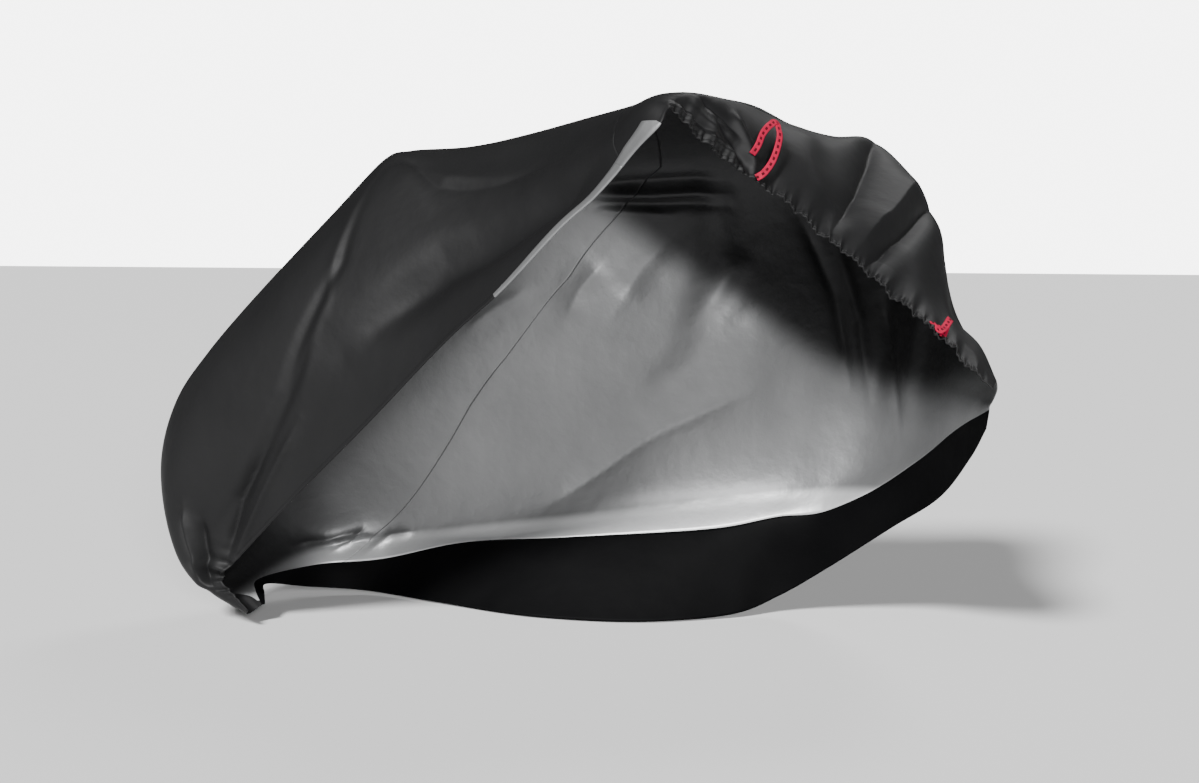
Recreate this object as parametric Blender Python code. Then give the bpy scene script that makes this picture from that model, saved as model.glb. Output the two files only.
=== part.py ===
"""A fitted bicycle cover, hanging over a saddle and a handlebar with its near side pulled up.

The cloth is one draped surface. Lengthwise lines (near hem, shoulder, crest and so on) carry it,
each a short table of places at numbered stations from the rear wheel (0) to the front wheel (27).
The panels are cut from that surface along its seams, and each panel is a sheet of even thickness.
Metres, +X from rear to front, +Y away from the opened side, +Z up.
"""

import math

import bpy
import numpy as np

CLOTH = 0.002  # thickness of every sheet
SEAM_GAP = 0.0004  # between two panels that are sewn edge to edge
LAST_STATION = 27.0
CENTRE = (0.49239, 0.18334, -0.00048)  # middle of the cover's box, with the floor under its hem

# Rows of a lengthwise line: station, x, y, z
NEAR_HEM = (
    (0, -0.123, -0.023, 0.036),
    (1, -0.152, -0.026, 0.066),
    (2, -0.186, -0.018, 0.099),
    (3, -0.148, -0.020, 0.139),
    (4.5, -0.010, -0.044, 0.270),
    (6, 0.152, -0.069, 0.415),
    (9, 0.385, -0.110, 0.626),
    (10.3, 0.485, -0.127, 0.706),
    (11.4, 0.605, -0.144, 0.820),
    (12.1, 0.661, -0.150, 0.865),
    (13, 0.736, -0.158, 0.940),
    (13.8, 0.788, -0.165, 0.989),
    (14.4, 0.796, -0.152, 1.014),
    (15, 0.799, -0.138, 1.018),
    (16, 0.836, -0.085, 0.972),
    (17, 0.880, -0.022, 0.926),
    (18, 0.927, 0.020, 0.889),
    (19, 0.973, 0.030, 0.857),
    (20, 1.042, 0.048, 0.793),
    (21, 1.098, 0.060, 0.748),
    (22, 1.150, 0.058, 0.700),
    (24, 1.236, 0.030, 0.635),
    (26, 1.320, 0.000, 0.557),
    (27, 1.350, 0.000, 0.530),
)
NEAR_SHOULDER = (
    (0, -0.133, -0.012, 0.026),
    (1, -0.185, -0.020, 0.056),
    (2, -0.262, -0.018, 0.100),
    (4, -0.328, 0.002, 0.300),
    (6, -0.240, 0.040, 0.520),
    (8, 0.005, 0.100, 0.800),
    (9, 0.135, 0.158, 0.938),
    (9.6, 0.207, 0.137, 0.926),
    (10.2, 0.279, 0.116, 0.911),
    (10.9, 0.366, 0.089, 0.903),
    (11.9, 0.489, 0.042, 0.918),
    (13, 0.651, -0.071, 0.962),
    (14, 0.750, -0.130, 1.028),
    (15, 0.800, -0.095, 1.048),
    (17, 0.880, 0.030, 1.005),
    (19, 0.985, 0.140, 0.940),
    (20, 1.050, 0.200, 0.905),
    (22, 1.180, 0.190, 0.775),
    (24, 1.237, 0.140, 0.670),
    (26, 1.320, 0.060, 0.580),
    (27, 1.353, 0.030, 0.535),
)
CREST = (
    (0, -0.139, 0.005, 0.021),
    (1, -0.203, 0.010, 0.049),
    (2, -0.289, 0.021, 0.101),
    (3, -0.338, 0.043, 0.200),
    (4, -0.369, 0.071, 0.333),
    (5, -0.345, 0.096, 0.455),
    (6, -0.280, 0.118, 0.555),
    (8, -0.018, 0.180, 0.842),
    (9, 0.085, 0.203, 0.951),
    (10, 0.150, 0.208, 0.971),
    (11, 0.270, 0.228, 0.978),
    (12, 0.420, 0.175, 1.000),
    (13, 0.580, 0.098, 1.027),
    (14, 0.725, 0.015, 1.048),
    (15, 0.797, -0.025, 1.057),
    (16, 0.845, 0.060, 1.052),
    (17, 0.880, 0.130, 1.041),
    (18, 0.930, 0.262, 1.014),
    (19, 0.995, 0.400, 0.994),
    (20, 1.058, 0.500, 0.985),
    (21, 1.136, 0.460, 0.913),
    (22, 1.204, 0.395, 0.812),
    (23, 1.224, 0.345, 0.745),
    (24, 1.236, 0.305, 0.700),
    (25, 1.260, 0.235, 0.637),
    (26, 1.315, 0.150, 0.592),
    (27, 1.352, 0.070, 0.537),
)
FAR_SHOULDER = (
    (0, -0.135, 0.025, 0.025),
    (1, -0.185, 0.040, 0.052),
    (2, -0.262, 0.065, 0.095),
    (4, -0.335, 0.150, 0.300),
    (6, -0.245, 0.205, 0.520),
    (8, 0.005, 0.260, 0.810),
    (9, 0.095, 0.275, 0.915),
    (11, 0.280, 0.300, 0.940),
    (13, 0.560, 0.380, 0.940),
    (16, 0.840, 0.465, 0.940),
    (19, 0.990, 0.510, 0.950),
    (20, 1.060, 0.522, 0.935),
    (22, 1.190, 0.420, 0.770),
    (24, 1.242, 0.325, 0.655),
    (26, 1.318, 0.165, 0.565),
    (27, 1.352, 0.085, 0.520),
)
FAR_MIDDLE = (
    (0, -0.130, 0.032, 0.030),
    (1, -0.168, 0.052, 0.055),
    (2, -0.215, 0.090, 0.075),
    (4, -0.250, 0.235, 0.170),
    (6, -0.150, 0.330, 0.290),
    (9, 0.150, 0.400, 0.490),
    (12, 0.460, 0.440, 0.560),
    (16, 0.830, 0.490, 0.570),
    (20, 1.060, 0.480, 0.560),
    (22, 1.185, 0.400, 0.550),
    (24, 1.255, 0.285, 0.530),
    (27, 1.345, 0.080, 0.500),
)
BAND_TOP = (
    (0, -0.127, 0.035, 0.032),
    (1, -0.160, 0.060, 0.056),
    (2, -0.187, 0.108, 0.069),
    (4, -0.150, 0.350, 0.090),
    (6, -0.030, 0.418, 0.118),
    (9.4, 0.270, 0.428, 0.136),
    (10.8, 0.399, 0.432, 0.163),
    (12.2, 0.546, 0.447, 0.202),
    (14.5, 0.750, 0.472, 0.235),
    (18, 0.935, 0.472, 0.262),
    (20, 1.060, 0.445, 0.314),
    (22, 1.172, 0.365, 0.374),
    (24, 1.255, 0.240, 0.440),
    (27, 1.340, 0.074, 0.490),
)
SKIRT_SEAM = (
    (0, -0.125, 0.037, 0.034),
    (1, -0.155, 0.065, 0.056),
    (2, -0.180, 0.112, 0.067),
    (4, -0.150, 0.320, 0.064),
    (6, -0.020, 0.390, 0.072),
    (8, 0.156, 0.400, 0.115),
    (11, 0.420, 0.378, 0.148),
    (14, 0.730, 0.413, 0.177),
    (17, 0.880, 0.438, 0.208),
    (19, 0.985, 0.430, 0.228),
    (20, 1.060, 0.400, 0.266),
    (22, 1.180, 0.330, 0.352),
    (24, 1.260, 0.220, 0.425),
    (27, 1.340, 0.072, 0.485),
)
FAR_HEM = (
    (0, -0.120, 0.042, 0.036),
    (1, -0.140, 0.075, 0.052),
    (2, -0.165, 0.120, 0.058),
    (4, -0.150, 0.285, 0.022),
    (6, -0.040, 0.355, 0.006),
    (8, 0.130, 0.317, 0.002),
    (11, 0.419, 0.248, 0.000),
    (13, 0.620, 0.272, 0.000),
    (15, 0.790, 0.370, 0.006),
    (17, 0.877, 0.440, 0.037),
    (19, 0.975, 0.440, 0.099),
    (21, 1.120, 0.375, 0.205),
    (23, 1.231, 0.260, 0.291),
    (25, 1.300, 0.145, 0.385),
    (27, 1.335, 0.075, 0.450),
)
LINES = (NEAR_HEM, NEAR_SHOULDER, CREST, FAR_SHOULDER, FAR_MIDDLE, BAND_TOP, SKIRT_SEAM, FAR_HEM)
# Where each line lies across the cloth, from the near hem (0) over the crest to the far hem (1)
ACROSS = (0.0, 0.28, 0.40, 0.50, 0.70, 0.86, 0.90, 1.0)
AT_CREST = ACROSS[2]
AT_SKIRT = ACROSS[6]

# The seam between the rear and the front half: place across, station
SIDE_SEAM = (
    (0.00, 12.75),
    (0.28, 13.30),
    (0.40, 13.80),
    (0.50, 13.60),
    (0.57, 12.70),
    (0.63, 11.80),
    (0.70, 10.15),
    (0.73, 9.20),
    (0.86, 5.60),
    (0.90, 4.90),
)

# The near hem is turned outwards. Rows: station, width of the turned strip
CUFF_WIDTH = (
    (0.0, 0.006),
    (10.1, 0.006),
    (10.7, 0.018),
    (11.6, 0.024),
    (12.6, 0.028),
    (13.1, 0.038),
    (13.7, 0.040),
    (13.9, 0.006),
    (27.0, 0.006),
)
CUFF_GAP = 0.002  # between the panel and the strip turned back over it
HEM_ROWS = 4  # rows of cloth before the hem's own edge

# Gathers of the elastic hem. Rows: first and last station, pitch, height, reach from the hem
GATHERS = (
    (14.6, 26.6, 0.060, 0.0032, 0.060),
    (0.6, 3.4, 0.034, 0.0040, 0.060),
)

# Folds: half width, height (outwards, or below zero inwards), sharpness (2 soft, 1 a crease), then
# places (station, across)
FOLDS = (
    (0.014, -0.006, 2.0, ((8.6, 0.28), (8.0, 0.20), (6.2, 0.125), (4.4, 0.09), (2.8, 0.092))),
    (0.012, -0.005, 2.0, ((7.3, 0.15), (6.1, 0.115), (4.5, 0.08), (3.0, 0.04))),
    (0.050, -0.022, 2.0, ((7.2, 0.10), (8.8, 0.085), (10.6, 0.11), (11.8, 0.118), (12.8, 0.10))),
    (0.045, 0.016, 1.8, ((9.0, 0.29), (10.0, 0.265), (10.7, 0.275), (11.7, 0.272), (12.8, 0.195), (13.5, 0.10))),
    (0.040, 0.008, 2.0, ((18.5, 0.36), (19.0, 0.275), (19.45, 0.145), (19.7, 0.07))),
    (0.028, -0.020, 1.1, ((20.05, 0.40), (20.35, 0.323), (20.4, 0.27), (20.3, 0.15), (20.05, 0.02))),
    (0.045, 0.020, 1.2, ((21.25, 0.39), (21.2, 0.312), (21.05, 0.228), (20.9, 0.083), (20.8, 0.0))),
    (0.022, -0.022, 1.2, ((21.7, 0.398), (21.72, 0.315), (21.6, 0.238), (21.45, 0.105), (21.2, 0.0))),
    (0.012, 0.009, 2.0, ((15.6, 0.18), (16.6, 0.09), (17.5, 0.01))),
    (0.012, -0.009, 2.0, ((16.1, 0.26), (17.0, 0.13), (17.6, 0.02))),
    (0.012, 0.009, 2.0, ((16.8, 0.32), (17.4, 0.18), (17.7, 0.06))),
    (0.014, 0.010, 1.6, ((12.4, 0.535), (13.4, 0.525), (14.4, 0.53))),
    (0.012, -0.012, 1.6, ((12.3, 0.547), (13.7, 0.548))),
    (0.014, 0.010, 1.6, ((12.2, 0.560), (13.9, 0.565))),
    (0.020, -0.014, 1.6, ((10.4, 0.82), (11.7, 0.805), (13.0, 0.79), (14.6, 0.755))),
    (0.040, -0.012, 2.0, ((14.6, 0.50), (14.8, 0.62), (14.2, 0.72))),
    (0.035, 0.012, 2.0, ((20.6, 0.50), (20.4, 0.62), (20.2, 0.78))),
    (0.030, -0.010, 2.0, ((22.0, 0.52), (21.6, 0.66), (21.3, 0.80))),
)

# Rows of cloth across each panel, from hem to seam
NEAR_ROWS = (0.0, 0.03, 0.07, 0.11, 0.155, 0.20, 0.24, 0.28, 0.32, 0.36, AT_CREST)
FAR_ROWS = (AT_CREST, 0.43, 0.465, 0.50, 0.525, 0.548, 0.57, 0.60, 0.65, 0.70, 0.76, 0.81, 0.86, AT_SKIRT)
SKIRT_ROWS = (AT_SKIRT, 0.935, 0.97, 1.0)
REAR_COLUMNS = 44
FRONT_COLUMNS = 62

# Webbing loops sewn to the gathered hem
WEBBING_WIDTH = 0.013
WEBBING_THICKNESS = 0.0018
# Rows: station, place across, height above the cloth
UPPER_LOOP = (
    (17.74, 0.005, 0.0071),
    (17.92, 0.050, 0.0130),
    (18.06, 0.120, 0.0200),
    (18.07, 0.190, 0.0260),
    (18.00, 0.255, 0.0310),
    (17.85, 0.288, 0.0330),
    (17.68, 0.280, 0.0320),
    (17.58, 0.235, 0.0270),
    (17.52, 0.170, 0.0180),
    (17.48, 0.110, 0.0062),
)
# This one is pressed flat: its first half lies under its second half
LOWER_LOOP = (
    (24.50, 0.005, 0.0053),
    (24.50, 0.060, 0.0052),
    (24.50, 0.115, 0.0060),
    (24.50, 0.160, 0.0085),
    (24.50, 0.178, 0.0135),
    (24.49, 0.160, 0.0185),
    (24.46, 0.115, 0.0195),
    (24.42, 0.060, 0.0175),
    (24.36, 0.005, 0.0165),
    (24.27, -0.028, 0.0155),
    (24.12, -0.014, 0.0135),
    (23.98, 0.004, 0.0100),
)
UPPER_FLAT_FROM = 0  # the row from which a strap's width lies across its own way over the cloth,
LOWER_FLAT_FROM = 6  # and before which it lies along the hem
LOOP_STEPS = 48

BLACK_OUTSIDE = ("Black coated oxford", (0.030, 0.030, 0.032, 1.0), 0.62)
SILVER_INSIDE = ("Silver coating", (0.42, 0.43, 0.44, 1.0), 0.45)
BLACK_SKIRT = ("Black uncoated polyester", (0.014, 0.014, 0.015, 1.0), 0.75)
RED_WEBBING = ("Red webbing", (0.72, 0.06, 0.10, 1.0), 0.80)


def clear_scene():
    for obj in list(bpy.data.objects):
        bpy.data.objects.remove(obj, do_unlink=True)


def material(name, colour, roughness):
    made = bpy.data.materials.new(name)
    made.use_nodes = True
    shader = made.node_tree.nodes["Principled BSDF"]
    shader.inputs["Base Color"].default_value = colour
    shader.inputs["Roughness"].default_value = roughness
    shader.inputs["Metallic"].default_value = 0.0
    return made


def column(rows, index):
    return np.array([row[index] for row in rows], float)


def tangents(knots, values):
    """Slopes of a smooth curve through the values, with the knots on the first axis."""
    steps = np.diff(knots, axis=0)[..., None]
    slopes = np.diff(values, axis=0) / steps
    middle = (slopes[:-1] * steps[1:] + slopes[1:] * steps[:-1]) / (steps[:-1] + steps[1:])
    return np.concatenate([slopes[:1], middle, slopes[-1:]])


def cubic(start, end, slope_start, slope_end, step, where):
    """The cubic from start to end over a step, at a share of the step."""
    left = 1 - where
    ends = (1 + 2 * where) * left**2 * start + (3 - 2 * where) * where**2 * end
    return ends + step * (where * left**2 * slope_start - where**2 * left * slope_end)


def along(rows, stations):
    """Places on a lengthwise line at the stations."""
    knots = column(rows, 0)
    places = np.array([row[1:] for row in rows], float)
    slopes = tangents(knots, places)
    first = np.clip(np.searchsorted(knots, stations, side="right") - 1, 0, len(knots) - 2)
    step = (knots[first + 1] - knots[first])[:, None]
    where = (stations - knots[first])[:, None] / step
    return cubic(places[first], places[first + 1], slopes[first], slopes[first + 1], step, where)


def smooth_cloth(stations, across):
    """Places on the cloth without its folds, for two arrays of one length."""
    lines = np.array([along(rows, stations) for rows in LINES])
    spans = np.linalg.norm(np.diff(lines, axis=0), axis=2) ** 0.75
    knots = np.concatenate([np.zeros((1, len(stations))), np.cumsum(spans, axis=0)])
    slopes = tangents(knots, lines)
    bounds = np.array(ACROSS)
    first = np.clip(np.searchsorted(bounds, across, side="right") - 1, 0, len(bounds) - 2)
    each = np.arange(len(stations))
    where = ((across - bounds[first]) / (bounds[first + 1] - bounds[first]))[:, None]
    step = (knots[first + 1, each] - knots[first, each])[:, None]
    return cubic(
        lines[first, each],
        lines[first + 1, each],
        slopes[first, each],
        slopes[first + 1, each],
        step,
        where,
    )


def outward(stations, across):
    """Unit normals of the smooth cloth, away from the bicycle."""
    small = 0.004
    low = np.maximum(across - small, 0)
    high = np.minimum(across + small, 1)
    behind = np.maximum(stations - small, 0)
    ahead = np.minimum(stations + small, LAST_STATION)
    over = smooth_cloth(stations, high) - smooth_cloth(stations, low)
    forward = smooth_cloth(ahead, across) - smooth_cloth(behind, across)
    normal = np.cross(forward, over)
    return normal / np.linalg.norm(normal, axis=1)[:, None]


def distance_to_path(points, path):
    """Distance from each point to a polyline, and the share of its length where it is nearest."""
    lengths = np.linalg.norm(np.diff(path, axis=0), axis=1)
    starts = np.concatenate([[0], np.cumsum(lengths)])
    nearest = np.full(len(points), np.inf)
    share = np.zeros(len(points))
    for index, length in enumerate(lengths):
        ray = (path[index + 1] - path[index]) / length
        run = np.clip((points - path[index]) @ ray, 0, length)
        gap = np.linalg.norm(points - path[index] - run[:, None] * ray, axis=1)
        closer = gap < nearest
        nearest[closer] = gap[closer]
        share[closer] = (starts[index] + run[closer]) / starts[-1]
    return nearest, share


def fold_height(points):
    """Height of all the folds at points of the smooth cloth."""
    height = np.zeros(len(points))
    for half_width, rise, sharpness, places in FOLDS:
        marks = np.array(places, float)
        steps = np.linspace(0, len(marks) - 1, 6 * (len(marks) - 1) + 1)
        stations = np.interp(steps, range(len(marks)), marks[:, 0])
        across = np.interp(steps, range(len(marks)), marks[:, 1])
        gap, share = distance_to_path(points, smooth_cloth(stations, across))
        fade = np.clip(4 * np.minimum(share, 1 - share), 0, 1)
        fade = 0.25 + 0.75 * (3 - 2 * fade) * fade**2
        height += rise * fade * np.exp(-((gap / half_width) ** sharpness))
    return height


def hem_lengths():
    """Stations, and the length of the near hem up to each."""
    stations = np.linspace(0, LAST_STATION, 541)
    steps = np.linalg.norm(np.diff(along(NEAR_HEM, stations), axis=0), axis=1)
    return stations, np.concatenate([[0], np.cumsum(steps)])


def gather_height(stations, points):
    """Height of the ripples that the elastic draws into the near hem."""
    table, lengths = hem_lengths()
    run = np.interp(stations, table, lengths)
    reach_in = np.linalg.norm(points - along(NEAR_HEM, stations), axis=1)
    height = np.zeros(len(points))
    for first, last, pitch, rise, reach in GATHERS:
        phase = 2 * math.pi * run / pitch
        wave = np.sin(phase) + 0.5 * np.sin(0.61 * phase + 1.0)
        ends = np.clip(stations - first, 0, 1) * np.clip(last - stations, 0, 1)
        height += rise * ends * wave * np.exp(-((reach_in / reach) ** 2))
    return height


def cloth(stations, across):
    """Places on the outside of the draped cloth, and its outward normals."""
    points = smooth_cloth(stations, across)
    normals = outward(stations, across)
    height = fold_height(points)
    near = across < AT_CREST
    height[near] += gather_height(stations[near], points[near])
    return points + height[:, None] * normals, normals


def hem_rows(stations):
    """Rows of the hem that is turned outwards, from its free edge to the fold at the hem."""
    width = np.interp(stations, column(CUFF_WIDTH, 0), column(CUFF_WIDTH, 1))
    shoulder = along(NEAR_SHOULDER, stations) - along(NEAR_HEM, stations)
    share = width / np.linalg.norm(shoulder, axis=1) * ACROSS[1]
    rows = []
    for part in (1.0, 0.5, 0.0):
        points, normals = cloth(stations, share * part)
        rows.append(points + CUFF_GAP * normals)
    hem, normals = cloth(stations, np.zeros_like(stations))
    inward, _ = cloth(stations, np.full_like(stations, 0.01))
    back = hem - inward
    back /= np.linalg.norm(back, axis=1)[:, None]
    rows.append(hem + CUFF_GAP / 2 * (normals + back))
    return rows


def spaced_stations(first, last, count, upper_share):
    """Stations that part the near hem, and a share of the crest and far hem, into even steps."""
    fine = np.linspace(first, last, 400)
    length = np.zeros(len(fine))
    for rows, share in ((NEAR_HEM, 1.0), (CREST, upper_share), (FAR_HEM, upper_share)):
        steps = np.linalg.norm(np.diff(along(rows, fine), axis=0), axis=1)
        length[1:] += share * np.cumsum(steps)
    return np.interp(np.linspace(0, length[-1], count), length, fine)


def columns_at(across):
    """Stations of all the columns where a row crosses them. Column REAR_COLUMNS - 1 is the seam."""
    upper_share = min(across / AT_CREST, 1.0)
    seam = float(np.interp(across, column(SIDE_SEAM, 0), column(SIDE_SEAM, 1)))
    rear = spaced_stations(0, seam, REAR_COLUMNS, upper_share)
    front = spaced_stations(seam, LAST_STATION, FRONT_COLUMNS, upper_share)
    return np.concatenate([rear, front[1:]])


def whole_cloth():
    """Places of the whole cloth in rows and columns, from the turned hem to the far hem."""
    lines = hem_rows(columns_at(0.0))
    for across in NEAR_ROWS + FAR_ROWS[1:] + SKIRT_ROWS[1:]:
        stations = columns_at(across)
        lines.append(cloth(stations, np.full_like(stations, across))[0])
    return np.array(lines)


def grid_normals(grid):
    """Unit normals at the grid's places, each the mean of those of the faces round it."""
    ahead = grid[1:, 1:] - grid[:-1, :-1]
    aside = grid[1:, :-1] - grid[:-1, 1:]
    faces = np.cross(ahead, aside)
    faces /= np.linalg.norm(faces, axis=2)[..., None]
    normals = np.zeros_like(grid)
    for rows in (slice(0, -1), slice(1, None)):
        for columns in (slice(0, -1), slice(1, None)):
            normals[rows, columns] += faces
    return normals / np.linalg.norm(normals, axis=2)[..., None]


def move_in(edge, beside):
    """Moves a seam's edge back by half the gap, square to the seam."""
    run = np.gradient(edge, axis=0)
    run /= np.linalg.norm(run, axis=1)[:, None]
    inward = beside - edge
    inward -= (inward * run).sum(axis=1)[:, None] * run
    inward /= np.linalg.norm(inward, axis=1)[:, None]
    edge += inward * SEAM_GAP / 2


def cut_seams(grid, seams):
    """Parts a panel from its neighbours on the named sides of its grid."""
    sides = {
        "first_row": (grid[0], grid[1]),
        "last_row": (grid[-1], grid[-2]),
        "rear": (grid[:, 0], grid[:, 1]),
        "front": (grid[:, -1], grid[:, -2]),
    }
    for seam in seams:
        move_in(*sides[seam])


def collection(name):
    made = bpy.data.collections.new(name)
    bpy.context.scene.collection.children.link(made)
    return made


def sheet(name, outside, inside, finish, home):
    """A sheet of cloth, lofted between its outside and its inside."""
    rows, columns = outside.shape[:2]
    index = np.arange(rows * columns).reshape(rows, columns)
    skin = np.stack([index[:-1, :-1], index[:-1, 1:], index[1:, 1:], index[1:, :-1]], axis=2)
    skin = skin.reshape(-1, 4)
    rim = np.concatenate([index[0], index[1:, -1], index[-1, -2::-1], index[-2:0:-1, 0]])
    after = np.roll(rim, -1)
    count = rows * columns
    walls = np.stack([after, rim, rim + count, after + count], axis=1)
    faces = np.concatenate([skin, skin[:, [0, 3, 2, 1]] + count, walls])
    places = np.concatenate([outside.reshape(-1, 3), inside.reshape(-1, 3)]) - CENTRE
    mesh = bpy.data.meshes.new(name)
    mesh.from_pydata(places.tolist(), [], faces.tolist())
    mesh.materials.append(material(*finish))
    made = bpy.data.objects.new(name, mesh)
    home.objects.link(made)


def panels(outside, home):
    """The five panels of the cover, cut from the whole cloth."""
    inside = outside - CLOTH * grid_normals(outside)
    crest = len(outside) - len(FAR_ROWS) - len(SKIRT_ROWS) + 1
    skirt = len(outside) - len(SKIRT_ROWS)
    middle = REAR_COLUMNS - 1
    above = slice(0, crest + 1)
    beyond = slice(crest, skirt + 1)
    below = slice(skirt, None)
    rear = slice(0, middle + 1)
    front = slice(middle, None)
    cuts = (
        ("near_panel", above, rear, ("last_row", "front"), BLACK_OUTSIDE),
        ("front_hood", above, front, ("last_row", "rear"), BLACK_OUTSIDE),
        ("far_rear_panel", beyond, rear, ("first_row", "last_row", "front"), SILVER_INSIDE),
        ("far_front_panel", beyond, front, ("first_row", "last_row", "rear"), SILVER_INSIDE),
        ("far_skirt", below, slice(None), ("first_row",), BLACK_SKIRT),
    )
    for name, rows, columns, seams, finish in cuts:
        skins = [outside[rows, columns].copy(), inside[rows, columns].copy()]
        for skin in skins:
            cut_seams(skin, seams)
        sheet(name, *skins, finish, home)


def on_hood(outside, stations, across):
    """Places and normals on the panels' own faces near the hem, for a list of places."""
    skins = np.concatenate([outside, grid_normals(outside)], axis=2)[HEM_ROWS:]
    columns = [columns_at(row) for row in NEAR_ROWS]
    places = []
    for station, place in zip(stations, across):
        low = min(max(int(np.searchsorted(NEAR_ROWS, place, side="right")), 1), len(NEAR_ROWS) - 1) - 1
        share = (place - NEAR_ROWS[low]) / (NEAR_ROWS[low + 1] - NEAR_ROWS[low])
        ends = []
        for row in (low, low + 1):
            ends.append(np.array([np.interp(station, columns[row], skins[row, :, k]) for k in range(6)]))
        places.append((1 - share) * ends[0] + share * ends[1])
    places = np.array(places)
    return places[:, :3], places[:, 3:]


def strap_sides(table, steps, middle, normals, flat_from):
    """Directions of a strap's width: along the hem before a row of its table, then across its way."""
    ahead = np.gradient(middle, axis=0)
    ahead /= np.linalg.norm(ahead, axis=1)[:, None]
    side = np.cross(ahead, normals)
    if flat_from:
        first, last = along(NEAR_HEM, np.array([table[0, 0] - 0.2, table[0, 0] + 0.2]))
        hem = last - first - ((last - first) * ahead).sum(axis=1)[:, None] * ahead
        hem *= np.sign((hem * side).sum(axis=1)[np.searchsorted(steps, flat_from)])
        flat = np.clip(steps - flat_from, 0, 1)[:, None]
        side = (1 - flat) * hem / np.linalg.norm(hem, axis=1)[:, None] + flat * side
    return side / np.linalg.norm(side, axis=1)[:, None]


def webbing_loop(name, table, flat_from, outside, home):
    """A strap that leaves the hem, stands off the cloth and comes back to it."""
    marks = np.array(table, float)
    knots = np.arange(len(marks), dtype=float)
    slopes = tangents(knots, marks)
    steps = np.linspace(0, knots[-1], LOOP_STEPS)
    first = np.minimum(steps.astype(int), len(marks) - 2)
    where = (steps - first)[:, None]
    path = cubic(marks[first], marks[first + 1], slopes[first], slopes[first + 1], 1.0, where)
    points, normals = on_hood(outside, path[:, 0], path[:, 1])
    middle = points + path[:, 2:] * normals
    side = WEBBING_WIDTH / 2 * strap_sides(marks, steps, middle, normals, flat_from)
    top = np.array([middle + side, middle, middle - side])
    bottom = top - WEBBING_THICKNESS * grid_normals(top)
    sheet(name, top, bottom, RED_WEBBING, home)


def main():
    clear_scene()
    home = collection("Bicycle cover")
    outside = whole_cloth()
    panels(outside, home)
    webbing_loop("upper_loop", UPPER_LOOP, UPPER_FLAT_FROM, outside, home)
    webbing_loop("lower_loop", LOWER_LOOP, LOWER_FLAT_FROM, outside, home)


main()
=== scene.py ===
"""The looks of a draped bicycle cover: its panels as thin cloth with folds, gathers and seams.

The cloth is one surface, as in the solids: lengthwise lines carry it, from the near hem over the
crest to the far hem. Metres, +X from rear to front, +Y away from the opened side, +Z up.
"""

import math

import bpy
import numpy as np
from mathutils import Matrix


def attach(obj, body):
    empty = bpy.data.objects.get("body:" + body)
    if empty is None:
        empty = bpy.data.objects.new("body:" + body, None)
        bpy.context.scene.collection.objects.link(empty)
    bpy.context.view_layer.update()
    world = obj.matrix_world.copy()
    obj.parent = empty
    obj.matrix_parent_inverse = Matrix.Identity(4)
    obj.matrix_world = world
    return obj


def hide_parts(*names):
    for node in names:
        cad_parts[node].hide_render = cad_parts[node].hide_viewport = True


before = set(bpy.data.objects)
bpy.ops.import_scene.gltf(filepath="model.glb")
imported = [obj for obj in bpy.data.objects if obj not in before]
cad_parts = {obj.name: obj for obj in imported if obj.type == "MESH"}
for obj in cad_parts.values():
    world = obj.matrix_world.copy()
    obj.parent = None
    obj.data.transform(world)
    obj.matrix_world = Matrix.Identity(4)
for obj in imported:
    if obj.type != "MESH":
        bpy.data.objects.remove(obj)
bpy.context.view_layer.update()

CLOTH = 0.0009  # thickness
LAST_STATION = 27.0
SPAN_POWER = 0.75  # of the distance between two lines, as the knot of the curve across them
FOLD_END = 0.25  # share of a fold's height that is left at its two ends
RIPPLE = (0.5, 0.61, 1.0)  # share, pitch and phase of the second wave in a gather
CENTRE = np.array((0.49239, 0.18334, -0.00048))  # of the cover's box, in the tables' own frame

# The view: place, turn and dip of the camera
CAMERA_PLACE = (1.62457, -3.07960, 0.80773)
CAMERA_TURN = 18.016
CAMERA_DIP = 5.3616
CAMERA_LENS = 51.59

# Wide, soft lights. Rows: name, turn from -Y towards +X, height and spread in degrees, strength
LIGHTS = (
    ("front", 33, 14, 12, 3.2),
    ("upper", -12, 40, 12, 6.6),
    ("back", 165, 45, 20, 0.8),
)
FILL = 0.05  # strength of the world's light
BACKDROP = 6.0  # strength of the world where the camera sees it
FLOOR_SIZE = 60
FLOOR_HEIGHT = -0.002

# Rows of a lengthwise line: station, x, y, z
NEAR_HEM = (
    (0, -0.123, -0.023, 0.036),
    (1, -0.152, -0.026, 0.066),
    (2, -0.186, -0.018, 0.099),
    (3, -0.148, -0.020, 0.139),
    (4.5, -0.010, -0.044, 0.270),
    (6, 0.152, -0.069, 0.415),
    (9, 0.385, -0.110, 0.626),
    (10.3, 0.485, -0.127, 0.706),
    (11.4, 0.605, -0.144, 0.820),
    (12.1, 0.661, -0.150, 0.865),
    (13, 0.736, -0.158, 0.940),
    (13.8, 0.788, -0.165, 0.989),
    (14.4, 0.796, -0.152, 1.014),
    (15, 0.799, -0.138, 1.018),
    (16, 0.836, -0.085, 0.972),
    (17, 0.880, -0.022, 0.926),
    (18, 0.927, 0.020, 0.889),
    (19, 0.973, 0.030, 0.857),
    (20, 1.042, 0.048, 0.793),
    (21, 1.098, 0.060, 0.748),
    (22, 1.150, 0.058, 0.700),
    (24, 1.236, 0.030, 0.635),
    (26, 1.320, 0.000, 0.557),
    (27, 1.350, 0.000, 0.530),
)
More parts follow.
